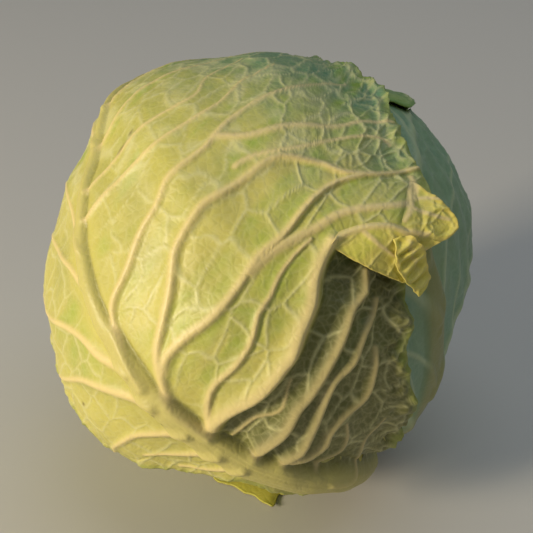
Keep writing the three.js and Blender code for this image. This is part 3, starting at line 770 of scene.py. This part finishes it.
# The flap's curled tail: a narrow strip that folds back over it and hangs down, crossed by creases
TAIL_OUTLINE = [
    (45, 13), (46, 9), (48, 4), (50.5, 0), (53.5, -3), (57, -5.5), (59, -7.5), (60.5, -6), (62.5, -3.5),
    (63, -1), (61.5, 2), (59.5, 5), (58, 8), (56, 9.5), (53, 11.5), (50.5, 13.5), (47.5, 14),
]
tail_outline = Outline((55.0, 4.0), TAIL_OUTLINE, ragged=0.7, seed=8)
TAIL_DOWN = (0.55, -0.84)


def tail_surface(a, b):
    """Radius and masks of the tail."""
    directions = FRONT.directions(a, b)
    _, crest, below = fold_lift(a, b)
    inside = tail_outline.inside(a, b)
    down = (a - 46) * TAIL_DOWN[0] + (b - 14) * TAIL_DOWN[1]
    across = (a - 46) * -TAIL_DOWN[1] + (b - 14) * TAIL_DOWN[0]
    crease = np.sin(1.5 * down + 0.3 * across + 1.6 * value_noise(a / 5, b / 5, 66))
    rolled = smooth(2.4, 0, inside)
    height = billow(directions, 0.4) + hanging(crest, below) + 0.3
    height += FLAP_STAND * smooth(34, 58, a) * smooth(4, 16, b)
    height += 2.4 * smooth(0, 5, down) + 0.95 * crease * smooth(0.2, 2.5, inside)
    height += 0.7 * rolled * (1 + 0.9 * value_noise(a / 1.9, b / 1.9, 67)) - 2.2 * smooth(1.5, -1.0, down)
    # The whole tail takes the flap material's bright yellow through the shade mask: partly its own tone,
    # partly painted light
    masks = all_masks(
        a,
        vein=0.7 * np.exp(-((across - 2.5) / 0.8) ** 2) * smooth(2, 5, down) * smooth(18, 12, down),
        net=0.5 * smooth(0.2, 1.0, crease),
        green=0.2 - 0.2 * crease,
        streak=0.2 * smooth(0.0, -1.0, crease),
        shade=np.ones(a.shape),
        rim=smooth(1.2, 0, inside))
    return (FRONT_LAYER + height) * swell(directions), masks


def clear_of(*covers):
    """Shares of a lower leaf left bare by the leaves over it, and how deep it lies under them."""
    def bare(directions):
        share = np.full(directions.shape[:-1], 9.0)
        for chart, outline in covers:
            share = np.minimum(share, outline.share(*chart.locate(directions)))
        return smooth(1.03, 1.15, share), smooth(1.0, 0.8, share)
    return bare


class Pinnate:
    """A leaf with a straight midrib and side veins that leave it steeply and swing out to the margin."""

    SWING = [(0, 0), (0.2, 17), (0.5, 32), (0.85, 42), (1.25, 48), (1.7, 50)]
    FIRST_PAIR = 12
    LAST_PAIR = 48
    VEIN_END = 0.95

    def __init__(self, chart, outline, layer, phase, foot, tip, pairs, spread, bare, seed, look):
        self.chart = chart
        self.outline = outline
        self.layer = layer
        self.phase = phase
        self.bare = bare
        self.seed = seed
        self.look = look
        self.midrib = [(0, foot), (0, (foot + tip) / 2), (0, tip)]
        self.veins = []
        pitch = (tip - self.LAST_PAIR - foot - self.FIRST_PAIR) / (pairs - 1)
        for pair in range(pairs):
            for side in (-1, 1):
                start = foot + self.FIRST_PAIR + pitch * (pair + (0.4 if side > 0 else 0))
                points = self.swing(start, side * spread, pair + side)
                path = self.add_vein(points, look["vein_width"], (1.9, 0.6))
                for place, reach in ((0.3, 0.55), (0.52, 0.45), (0.7, 0.35)):
                    self.add_branch(path, place, reach * spread, side, pair)
                between = self.swing(start + 0.5 * pitch, 0.8 * side * spread, pair - side)
                self.add_vein(between, (3.2, 1.4), (1.0, 0.4))

    def swing(self, start, swing, salt):
        """The points of a side vein, a little irregular."""
        points = []
        for out, up in self.SWING:
            across = swing * out * (1 + 0.1 * value_noise(salt + out * 3, self.seed, 4))
            points.append((across, start + up + 3 * out * value_noise(salt * 1.7, out * 4, self.seed)))
        return points

    def add_vein(self, points, width, height):
        path = spline(points, 5.0)
        beyond = np.nonzero(self.outline.share(path[:, 0], path[:, 1]) > self.VEIN_END)[0]
        beyond = beyond[beyond > 3]
        path = path[:beyond[0]] if len(beyond) else path
        if len(path) > 3:
            self.veins.append(Vein([tuple(place) for place in path], width, height))
        return path

    def add_branch(self, path, place, reach, side, salt):
        """A thinner vein that leaves a side vein toward the leaf's tip."""
        index = int(place * (len(path) - 2))
        start = path[index]
        heading = path[index + 1] - start
        heading = heading / np.linalg.norm(heading)
        turned = np.array([heading[0] * 0.6 - side * heading[1] * 0.4,
                           heading[1] * 0.6 + side * heading[0] * 0.8])
        bend = 0.25 * reach * value_noise(place * 9, salt * 1.3, self.seed)
        middle = start + turned * reach * 0.5 + np.array([bend, 0])
        end = start + turned * reach + heading * reach * 0.3
        self.add_vein([tuple(start), tuple(middle), tuple(end)], (2.6, 1.2), (0.9, 0.35))

    def surface(self, a, b):
        directions = self.chart.directions(a, b)
        bare, under = self.bare(directions)
        look = self.look
        rib, rib_mask, rib_distance, rib_groove = midrib_ridge(
            a, b, self.midrib, look["rib_width"], look["rib_height"], look["rib_power"])
        vein, vein_mask, sunk = ridges(a, b, self.veins)
        sunk = sunk * (1 - np.exp(-(rib_distance / 8) ** 2))
        blade = 1 - np.maximum(vein_mask, rib_mask)
        from_rib = smooth(4, 18, rib_distance)
        coarse, coarse_distance, number = net(a, b, 9.5, 0.7, self.seed)
        fine, _, _ = net(a, b, 4.8, 0.5, self.seed + 7, stretch=1.1, lean=0.3)
        inside = self.outline.inside(a, b)
        height = look["vein"] * vein - look["trough"] * sunk + rib
        height += blade * from_rib * look["net"] * (0.36 * coarse + 0.14 * fine)
        height += blade * from_rib * look["net"] * 0.55 * smooth(0, 4, coarse_distance) * (2 * number - 0.6)
        height += 0.5 * fractal(a / 26, b / 26, self.seed + 3)
        bend = 1.2 * value_noise(a / 50, b / 34, self.seed)
        height += look["wave"] * np.sin(a / look["wave_length"] + bend) * smooth(8, 22, rib_distance)
        waves = value_noise(a / 6, b / 6, self.seed + 8)
        height += look["ruffle"] * smooth(11, 0, inside) * (0.9 + 0.8 * waves)
        height = 0.3 * billow(directions, self.phase) + bare * height - 4.2 * under
        radius = (self.layer + height) * swell(directions)
        mottle = fractal(a / 12, b / 12, self.seed + 30)
        netted = (coarse * 0.8 + fine * 0.4) * blade * from_rib * look["net_tint"]
        masks = all_masks(
            a,
            vein=vein_mask * look["vein_tint"],
            rib=rib_mask,
            net=np.clip(netted, 0, 1),
            green=np.clip(look["green"] + 0.25 * mottle - 0.25 * (1 - from_rib), 0, 1),
            streak=look["streak"] * smooth(0.1, 0.7, fractal(a / 16, b / 30, self.seed + 33)) * blade,
            rim=smooth(4, 0, inside + 2 * mottle))
        return radius, masks


def from_stem_outline(chart, places, ragged, seed):
    """An outline given as turns round the stalk and angles from it, in degrees."""
    corners = [chart.locate(from_stem(turn, angle)) for turn, angle in places]
    return Outline((0.0, 0.0), corners, ragged, seed)


back_chart = Chart(from_stem(134, 98), CROWN)
back_outline = from_stem_outline(back_chart, [
    (166, 13), (192, 26), (204, 45), (206, 70), (206, 95), (208, 120), (206, 138), (170, 150), (100, 146),
    (76, 138), (69, 130), (66, 124), (68, 118), (73, 111.5), (77, 110), (87, 110.5), (98, 108), (105, 104),
    (107, 96),
    (107, 84), (106, 70), (104, 56), (101, 42), (99, 26), (104, 13),
], 0.7, 12)
right_chart = Chart((0.686, -0.552, 0.474), CROWN)
right_outline = from_stem_outline(right_chart, [
    (62, 13), (96, 26), (112, 45), (116, 70), (116, 95), (110, 118), (86, 138), (40, 150), (0, 144),
    (-12, 120), (-12, 95), (-12, 70), (-12, 45), (-10, 26), (-2, 13),
], 0.5, 13)
left_chart = Chart(from_stem(-110, 88), CROWN)
left_outline = from_stem_outline(left_chart, [
    (-76, 13), (-38, 20), (-22, 36), (-22, 60), (-30, 80), (-42, 100), (-52, 120), (-70, 138), (-110, 148),
    (-150, 146), (-174, 126), (-178, 100), (-178, 70), (-176, 45), (-168, 26), (-144, 13),
], 0.7, 14)
under_chart = Chart(DOWN, (0, -1, 0))
under_outline = Outline((0.0, 0.0), [
    (36, 10), (29, 24), (21, 30), (15, 34), (11, 36.5), (8.5, 36), (7.5, 39), (6, 43.5), (4, 42), (1, 39),
    (-2, 36), (-6, 34), (-12, 30), (-17, 28), (-21, 23), (-26, 19), (-26, 12), (-31, 4), (-27, -6),
    (-28, -14), (-20, -18), (-14, -26), (-4, -24), (6, -27), (14, -20), (24, -17), (27, -6), (33, 0),
], 0.9, 15)
front_cover = (FRONT, front_outline)
back_cover = (back_chart, back_outline)
under_cover = (under_chart, under_outline)

LEAFY = dict(rib_width=[(0, 16), (0.3, 11), (1, 4)], rib_height=(3.4, 0.9), rib_power=2.0,
             vein_width=(5.0, 1.8), vein=1.0, trough=1.3, wave=0.3, net_tint=0.8)
back_leaf = Pinnate(
    back_chart, back_outline, BACK_LAYER, 1.9, -134, 84, 4, 62, clear_of(front_cover), 60,
    dict(LEAFY, net=1.2, wave_length=17, ruffle=0.8, vein_tint=0.9, green=0.62, streak=0.4))
right_leaf = Pinnate(
    right_chart, right_outline, SIDE_LAYER, 3.1, -114, 86, 3, 50, clear_of(front_cover, back_cover), 70,
    dict(rib_width=[(0, 20), (0.3, 15), (1, 5)], rib_height=(2.6, 1.2), rib_power=4.5,
         vein_width=(6.4, 2.4), vein=0.8, trough=1.0, net=0.7, wave=0.45, wave_length=1.9, ruffle=0.5,
         vein_tint=0.85, net_tint=0.6, green=0.7, streak=0.0))
left_leaf = Pinnate(
    left_chart, left_outline, SIDE_LAYER, 4.6, -122, 84, 4, 56,
    clear_of(front_cover, back_cover, under_cover), 80,
    dict(LEAFY, net=1.1, wave_length=15, ruffle=0.8, vein_tint=0.95, green=0.3, streak=0.5))

TONGUE_RISE = 0.6
TONGUE_REACH = 10.0


def under_surface(a, b):
    """The under leaf's outer face: held at the resting plane, its tongue along the surface in front."""
    directions = under_chart.directions(a, b)
    inside = under_outline.inside(a, b)
    coarse, _, number = net(a, b, 7.0, 0.6, 92)
    free = (FRONT_LAYER - 0.2 + 0.3 * coarse * smooth(0, 6, inside)) * swell(directions)
    free = free + TONGUE_REACH * smooth(16, 32, b)
    free = free - 1.2 * smooth(26, 34, b) * (1 + value_noise(a / 3.1, b / 3.1, 93))
    plane = REST_DEPTH - TONGUE_RISE * smooth(20, 24, b)
    radius = np.minimum(free, plane / -directions[..., 2])
    masks = all_masks(
        a,
        vein=np.exp(-(np.abs(a + 2 * np.sin(b / 9)) / 1.6) ** 2) * smooth(0, 10, inside),
        net=0.8 * coarse,
        green=0.1 + 0.2 * number,
        streak=0.6 * smooth(14, 30, b),
        rim=smooth(4, 0, inside))
    return radius, masks


def heart_mesh(name):
    """The tight inner head, seated flat on the stalk, and faintly veined like the leaves."""
    places, faces = sphere_faces(6)
    radius = HEART_LAYER * swell(places) + 0.5 * billow(places, 5.2)
    seat = STALK_SEAT / np.maximum(places @ STEM, 0.1)
    mesh = mesh_from(name, places * np.minimum(radius, seat)[:, None], faces)
    for label in LABELS:
        mesh.attributes.new(label, "FLOAT", "POINT")
    return mesh


def sphere_faces(splits):
    """Directions and triangles of a finely divided sphere."""
    ball = bmesh.new()
    bmesh.ops.create_icosphere(ball, subdivisions=splits, radius=1.0)
    places = np.array([vertex.co[:] for vertex in ball.verts])
    faces = np.array([[vertex.index for vertex in face.verts] for face in ball.faces])
    ball.free()
    return places / np.linalg.norm(places, axis=1)[:, None], faces


def stalk_mesh(name):
    """The short cut stalk: a ribbed side flared at the heart, and a slightly sunken cut face."""
    foot = STALK_SEAT + 0.5
    profile = spline([
        (0, foot), (10, foot), (19.8, foot), (19.2, 76.5), (17.8, 80.5), (15.2, 83), (STALK_RADIUS, 86),
        (14.3, 86.9), (12.5, STALK_END), (9, 86.5), (4, 86.2), (0, 86.3),
    ], 0.7)
    count = 120
    angle = 2 * math.pi * np.arange(count) / count
    side = unit(np.cross(STEM, VIEW_OUT))
    front = np.cross(side, STEM)
    rows = []
    for radius, height in profile[1:-1]:
        ribs = 0.35 * np.sin(9 * angle) + 0.2 * value_noise(angle * 8, np.full(count, height / 4), 95)
        face = smooth(0, 9, radius) * smooth(foot, 78, height)
        bumps = 0.18 * value_noise(radius * np.cos(angle) / 2, radius * np.sin(angle) / 2, 96)
        round_stalk = np.cos(angle)[:, None] * side + np.sin(angle)[:, None] * front
        ring = (radius + ribs * face)[:, None] * round_stalk
        rows.append(ring + (height + bumps * (height > 84))[:, None] * STEM)
    points = np.concatenate([[profile[0][1] * STEM]] + rows + [[profile[-1][1] * STEM]])
    faces = []
    j = np.arange(count)
    j_next = (j + 1) % count
    last = 1 + (len(rows) - 1) * count
    faces.append(np.stack([0 * j, 1 + j_next, 1 + j], axis=1))
    for row in range(len(rows) - 1):
        here = 1 + row * count
        there = here + count
        faces.append(np.stack([here + j, here + j_next, there + j], axis=1))
        faces.append(np.stack([here + j_next, there + j_next, there + j], axis=1))
    faces.append(np.stack([last + j, last + j_next, 0 * j + last + count], axis=1))
    return mesh_from(name, points, np.concatenate(faces))


def linear(colour):
    """A display colour from 0 to 255 as scene-linear shares with alpha."""
    shares = [value / 255 for value in colour]
    return [s / 12.92 if s <= 0.04045 else ((s + 0.055) / 1.055) ** 2.4 for s in shares] + [1.0]


class Shader:
    """Short-hand for building a node material."""

    def __init__(self, name):
        self.material = bpy.data.materials.new(name)
        self.material.use_nodes = True
        self.tree = self.material.node_tree
        self.surface = self.tree.nodes["Principled BSDF"]
        self.place = self.add("TexCoord").outputs["Object"]

    def feed(self, socket, value):
        """Link a socket from another one, or set it to a value."""
        if isinstance(value, bpy.types.NodeSocket):
            self.tree.links.new(value, socket)
        else:
            socket.default_value = value

    def add(self, kind, inputs=None, **settings):
        """A new node of a kind, with its settings and inputs."""
        node = self.tree.nodes.new("ShaderNode" + kind)
        for label, value in settings.items():
            setattr(node, label, value)
        for label, value in (inputs or {}).items():
            self.feed(node.inputs[label], value)
        return node

    def mask(self, label):
        return self.add("Attribute", attribute_name=label).outputs["Fac"]

    def noise(self, scale, detail=3.0):
        inputs = {"Scale": scale, "Detail": detail, "Vector": self.place}
        return self.add("TexNoise", inputs).outputs["Fac"]

    def crackle(self, scale):
        inputs = {"Scale": scale, "Vector": self.place}
        return self.add("TexVoronoi", inputs, feature="DISTANCE_TO_EDGE").outputs["Distance"]

    def ranged(self, value, low, high, to_low=0.0, to_high=1.0):
        inputs = {"Value": value, "From Min": low, "From Max": high, "To Min": to_low, "To Max": to_high}
        return self.add("MapRange", inputs).outputs["Result"]

    def maths(self, operation, first, second):
        return self.add("Math", {0: first, 1: second}, operation=operation).outputs["Value"]

    def mix(self, share, first, second):
        """Blend from the first colour to the second; a colour is a socket or a display colour."""
        ends = [linear(end) if isinstance(end, tuple) else end for end in (first, second)]
        return self.add("Mix", {0: share, 6: ends[0], 7: ends[1]}, data_type="RGBA").outputs[2]

    def bump(self, height, distance, strength):
        inputs = {"Distance": distance, "Strength": strength, "Height": height}
        self.feed(self.surface.inputs["Normal"], self.add("Bump", inputs).outputs["Normal"])

    def finish(self, colour, roughness, coat=0.0, subsurface=0.0):
        inputs = {
            "Base Color": colour, "Roughness": roughness, "Coat Weight": coat, "Coat Roughness": 0.35,
            "Subsurface Weight": subsurface, "Subsurface Radius": (0.004, 0.005, 0.0015),
            "Subsurface Scale": 0.6,
        }
        for label, value in inputs.items():
            self.feed(self.surface.inputs[label], value)
        return self.material


MARK_BROWN = (92, 70, 38)


def leaf_material(name, pale, green, streak, vein, rib, net_tint, rim, shade, rough=0.5, coat=0.12):
    """A waxy leaf: blade mottled from pale to green, cream veins and net, a striated midrib."""
    s = Shader(name)
    broad = s.noise(38.0, 4.0)
    small = s.noise(420.0, 3.0)
    blade = s.mix(s.ranged(broad, 0.35, 0.68), pale, tuple(0.93 * value for value in pale))
    toward_green = s.maths("ADD", s.mask("green"), s.ranged(broad, 0.3, 0.7, -0.12, 0.12))
    blade = s.mix(s.ranged(toward_green, 0.0, 1.0), blade, green)
    # The shade mask lays a colour over the blade: painted shade on the front leaf, partly its own olive,
    # and on the flap and tail a yellow that is partly painted light
    for label, amount, colour in (("streak", 1.0, streak), ("shade", 0.8, shade)):
        blade = s.mix(s.maths("MULTIPLY", s.mask(label), amount), blade, colour)
    blade = s.mix(s.ranged(s.crackle(330.0), 0.0, 0.16, 0.12, 0.0), blade, net_tint)
    for label, amount, colour in (("net", 0.7, net_tint), ("rim", 0.6, rim), ("vein", 0.9, vein),
                                  ("rib", 0.95, rib), ("mark", 0.8, MARK_BROWN)):
        blade = s.mix(s.maths("MULTIPLY", s.mask(label), amount), blade, colour)
    rough_value = s.ranged(small, 0.2, 0.8, rough - 0.07, rough + 0.08)
    relief = s.maths("ADD", s.ranged(s.crackle(330.0), 0.0, 0.3, 0.0, 0.6), s.maths("MULTIPLY", small, 0.5))
    s.bump(relief, 0.0003, 0.4)
    return s.finish(blade, rough_value, coat, subsurface=0.12)


CREAM = (232, 212, 150)
FRONT_TINTS = dict(pale=(206, 198, 104), green=(108, 150, 108), streak=(150, 178, 52), vein=CREAM,
                   rib=(204, 194, 118))
# The front's shade colour, a dark olive, is painted shade, partly the leaf's own olive
front_material = leaf_material(
    "leaf front", **FRONT_TINTS, net_tint=(218, 214, 156), rim=(160, 172, 70), shade=(68, 76, 34))
# The flap's shade colour, a bright yellow, is partly the leaf's own and partly painted light
flap_material = leaf_material(
    "leaf flap", **FRONT_TINTS, net_tint=(232, 220, 140), rim=(222, 198, 104), shade=(238, 224, 102))
back_material = leaf_material(
    "leaf back", pale=(172, 192, 96), green=(92, 138, 84), streak=(140, 176, 60), vein=(208, 212, 150),
    rib=(206, 206, 140), net_tint=(176, 200, 130), rim=(112, 156, 70), shade=(120, 140, 80))
right_material = leaf_material(
    "leaf right", pale=(146, 164, 112), green=(124, 164, 132), streak=(140, 176, 60), vein=(188, 202, 158),
    rib=(150, 148, 82), net_tint=(162, 190, 152), rim=(130, 164, 108), shade=(120, 140, 80), rough=0.42,
    coat=0.2)
left_material = leaf_material(
    "leaf left", pale=(190, 198, 104), green=(112, 150, 84), streak=(160, 182, 44), vein=(222, 216, 156),
    rib=(204, 196, 120), net_tint=(204, 210, 144), rim=(140, 168, 72), shade=(146, 150, 74))
under_material = leaf_material(
    "leaf under", pale=(200, 192, 84), green=(150, 166, 72), streak=(170, 186, 50), vein=CREAM,
    rib=CREAM, net_tint=(208, 208, 130), rim=(178, 160, 72), shade=(146, 150, 74))
heart_material = leaf_material(
    "heart", pale=(206, 208, 130), green=(160, 186, 110), streak=(160, 182, 44), vein=CREAM,
    rib=CREAM, net_tint=(214, 216, 156), rim=(180, 196, 110), shade=(146, 150, 74))


def stalk_material():
    """The cut stalk: pale flesh with brown dried patches and fine darker flecks."""
    s = Shader("stalk")
    broad = s.noise(90.0, 5.0)
    fine = s.noise(900.0, 3.0)
    flesh = s.mix(s.ranged(broad, 0.42, 0.66), (208, 196, 142), (168, 140, 86))
    flesh = s.mix(s.ranged(fine, 0.55, 0.75, 0.0, 0.5), flesh, (124, 96, 56))
    s.bump(fine, 0.0005, 0.5)
    return s.finish(flesh, s.ranged(fine, 0.2, 0.8, 0.6, 0.8), subsurface=0.05)


FRONT_RINGS = 172
PINNATE_RINGS = 112
FLAP_RINGS = 64
UNDER_RINGS = 48


def add_leaf(name, node, material, *form):
    """A leaf's piece; its form is what leaf_mesh takes after the name."""
    add_piece(name, leaf_mesh(name, *form), material, node)


add_leaf("front_leaf", "leaf_front", front_material, FRONT, front_outline, FRONT_RINGS, front_surface)
add_leaf("front_flap", "leaf_front", flap_material, FRONT, flap_outline, FLAP_RINGS, flap_surface, 1.2)
add_leaf("front_tail", "leaf_front", flap_material, FRONT, tail_outline, FLAP_RINGS, tail_surface, 1.0)
for title, leaf, material in (("back", back_leaf, back_material), ("right", right_leaf, right_material),
                              ("left", left_leaf, left_material)):
    add_leaf(f"{title}_leaf", f"leaf_{title}", material, leaf.chart, leaf.outline, PINNATE_RINGS,
             leaf.surface)
add_leaf("under_leaf", "leaf_under", under_material, under_chart, under_outline, UNDER_RINGS,
         under_surface, 1.2)
add_piece("inner_head", heart_mesh("inner_head"), heart_material, "heart")
add_piece("cut_stalk", stalk_mesh("cut_stalk"), stalk_material(), "stalk")


FLOOR_REACH = 2.6
WALL_CURVE = 0.9


def add_floor():
    """A plain pale floor that curves up into a wall all round."""
    profile = [(0.0, 0.0), (FLOOR_REACH / 2, 0.0)]
    for step in range(13):
        angle = math.radians(90 * step / 12)
        profile.append((FLOOR_REACH + WALL_CURVE * math.sin(angle), WALL_CURVE * (1 - math.cos(angle))))
    count = 72
    turns = 2 * math.pi * np.arange(count) / count
    points = [(0.0, 0.0, 0.0)]
    for reach, rise in profile[1:]:
        points += [(reach * math.cos(turn), reach * math.sin(turn), rise) for turn in turns]
    faces = [(0, 1 + i, 1 + (i + 1) % count) for i in range(count)]
    for row in range(len(profile) - 2):
        start = 1 + row * count
        faces += [(start + i, start + count + i, start + count + (i + 1) % count, start + (i + 1) % count)
                  for i in range(count)]
    mesh = bpy.data.meshes.new("floor")
    mesh.from_pydata(points, [], faces)
    mesh.shade_smooth()
    floor = bpy.data.objects.new("floor", mesh)
    bpy.context.collection.objects.link(floor)
    material = bpy.data.materials.new("floor")
    material.use_nodes = True
    surface = material.node_tree.nodes["Principled BSDF"]
    surface.inputs["Base Color"].default_value = linear((206, 203, 198))
    surface.inputs["Roughness"].default_value = 0.75
    mesh.materials.append(material)


def add_light(name, place, size, power, colour):
    """A square soft light at a place in metres, aimed at the middle of the head."""
    light = bpy.data.lights.new(name, "AREA")
    light.shape = "SQUARE"
    light.size = size
    light.energy = power
    light.color = colour
    lamp = bpy.data.objects.new(name, light)
    lamp.location = place
    aim = HEAD_CENTRE * MM - Vector(place)
    lamp.rotation_euler = aim.to_track_quat("-Z", "Y").to_euler()
    bpy.context.collection.objects.link(lamp)


# Name, place and size in metres, power in watts, and colour
LIGHTS = [
    ("key", (-1.15, -0.7, 0.5), 0.32, 18.5, (1.0, 0.87, 0.64)),
    ("sky", (0.25, 0.2, 1.5), 1.5, 5.8, (0.84, 0.93, 1.0)),
]

add_floor()
for lamp_values in LIGHTS:
    add_light(*lamp_values)
world = bpy.data.worlds.new("studio")
world.use_nodes = True
world.node_tree.nodes["Background"].inputs["Color"].default_value = (0.86, 0.92, 1.0, 1.0)
world.node_tree.nodes["Background"].inputs["Strength"].default_value = 0.15
bpy.context.scene.world = world
bpy.context.scene.view_settings.view_transform = "Standard"


def add_camera():
    """The camera where the photograph was taken: axes right, up and away from the head."""
    camera = bpy.data.cameras.new("camera")
    camera.sensor_width = 36.0
    camera.lens = FOCAL_PIXELS / PHOTO_SIDE * camera.sensor_width
    viewer = bpy.data.objects.new("camera", camera)
    right = Vector((1, 0, 0))
    up = Vector(VIEW_UP)
    out = Vector(VIEW_OUT)
    place = (HEAD_CENTRE + VIEW_OFFSET * (right + up) + VIEW_DISTANCE * out) * MM
    turn = Matrix((right, up, out)).transposed().to_4x4()
    viewer.matrix_world = Matrix.Translation(place) @ turn
    bpy.context.collection.objects.link(viewer)
    bpy.context.scene.camera = viewer


add_camera()
